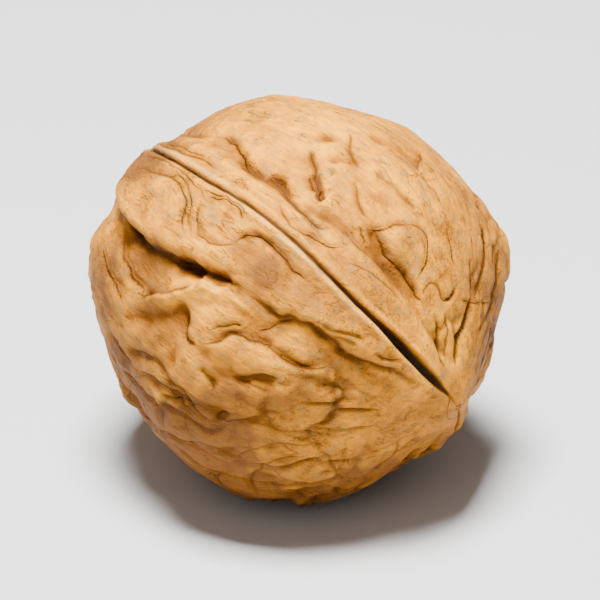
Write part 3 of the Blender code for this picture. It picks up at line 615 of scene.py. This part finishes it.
# Rusty brown stains, with painted shade on the underside, at the base end and under the folds.
colour = mixed(tree, times(tree, spread(tree, mark["stain_and_painted_light"], 0, 1), 0.9), colour, RUSTY_AND_SHADE)
colour = mixed(tree, times(tree, vein, 0.55), colour, BROWN)
colour = mixed(tree, times(tree, dash, 0.4), colour, BROWN)
# Painted shade: brown where the shell lies below its surroundings.
colour = mixed(tree, spread(tree, mark["hollow"], 0.01, 0.25), colour, BROWN)
colour = mixed(tree, times(tree, mark["pale"], 0.5), colour, LIP)
# Painted shade: near black-brown in the creases, grooves, cracks and pits.
colour = mixed(tree, mark["dark"], colour, CREASE)
hair = 0.0
for i in range(LAYERS):
    crisp = times(tree, bell(tree, mark[f"edge_{i}"], 0.5), mark[f"inked_{i}"])
    hair = node(tree, "Math", {0: crisp, 1: hair}, operation="MAXIMUM").outputs[0]
# Painted shade: a crisp dark line in each narrow crease.
colour = mixed(tree, times(tree, hair, 0.75), colour, CRISP_LINE)
# The seam's line is drawn dark, and where the gap opens it is painted nearly black as shade.
slit = node(tree, "Math", {0: mark["side"], 1: mark["slit"]}, operation="DIVIDE").outputs[0]
slit = bell(tree, times(tree, slit, slit), 1.0)
depths = mixed(tree, spread(tree, mark["slit"], 0.16, 0.34), SEAM_LINE, GAP)
colour = mixed(tree, slit, colour, depths)
tree.links.new(colour, bsdf.inputs["Base Color"])
bsdf.inputs["Specular IOR Level"].default_value = 0.06
dull = node(tree, "MapRange", {"Value": fibre, "From Min": 0.3, "From Max": 0.7,
                               "To Min": 0.42, "To Max": 0.62}).outputs["Result"]
tree.links.new(dull, bsdf.inputs["Roughness"])
grain = sum_of(tree, (fibre, 0.6), (speck, 0.35), (vein, -0.35), (dash, -0.25), (hair, -1.2))
bump = node(tree, "Bump", {"Height": grain, "Strength": 1.0, "Distance": 0.0003})
tree.links.new(bump.outputs["Normal"], bsdf.inputs["Normal"])
mesh.materials.append(material)

# The floor is plain pale paper. A soft light hangs nearly straight above the nut, as in the
# photo, with a weak one in front and a pale surround, and the camera looks as the photo does.
FLOOR_HALF = 2
corners = [(x * FLOOR_HALF, y * FLOOR_HALF, 0) for x, y in ((-1, -1), (1, -1), (1, 1), (-1, 1))]
floor_mesh = bpy.data.meshes.new("floor")
floor_mesh.from_pydata(corners, [], [(0, 1, 2, 3)])
floor = bpy.data.objects.new("floor", floor_mesh)
bpy.context.scene.collection.objects.link(floor)
paper = bpy.data.materials.new("white_paper")
paper.use_nodes = True
bsdf = paper.node_tree.nodes["Principled BSDF"]
bsdf.inputs["Base Color"].default_value = (0.6, 0.6, 0.595, 1)
bsdf.inputs["Roughness"].default_value = 0.9
floor_mesh.materials.append(paper)

world = bpy.data.worlds.new("studio")
bpy.context.scene.world = world
world.use_nodes = True
surround = world.node_tree.nodes["Background"]
surround.inputs["Color"].default_value = (1, 1, 1, 1)
surround.inputs["Strength"].default_value = 0.16

AZIMUTH, ELEVATION = 42.3, 27.0
LIGHT_DISTANCE, CAMERA_DISTANCE = 0.4, 0.58
middle = -0.001 * Vector(REST_SPOT)


def around_nut(azimuth, elevation, distance):
    """A point at this distance from the nut's middle: turned azimuth degrees from -Y towards
    +X, and raised by the elevation."""
    a, e = radians(azimuth), radians(elevation)
    return middle + distance * Vector((sin(a) * cos(e), -cos(a) * cos(e), sin(e)))


LIGHTS = [("top_light", AZIMUTH - 20, 80, 0.13, 8.4), ("front_light", AZIMUTH - 10, 35, 0.3, 0.35)]
for name, azimuth, elevation, size, power in LIGHTS:
    lamp = bpy.data.lights.new(name, "AREA")
    lamp.size, lamp.energy = size, power
    light = bpy.data.objects.new(name, lamp)
    light.location = around_nut(azimuth, elevation, LIGHT_DISTANCE)
    light.rotation_euler = (middle - light.location).to_track_quat("-Z", "Y").to_euler()
    bpy.context.scene.collection.objects.link(light)

lens = bpy.data.cameras.new("camera")
lens.lens, lens.sensor_width = 400, 36
lens.clip_start, lens.clip_end = 0.01, 10
camera = bpy.data.objects.new("camera", lens)
camera.location = around_nut(AZIMUTH, ELEVATION, CAMERA_DISTANCE)
camera.rotation_euler = (middle - camera.location).to_track_quat("-Z", "Y").to_euler()
bpy.context.scene.collection.objects.link(camera)
bpy.context.scene.camera = camera
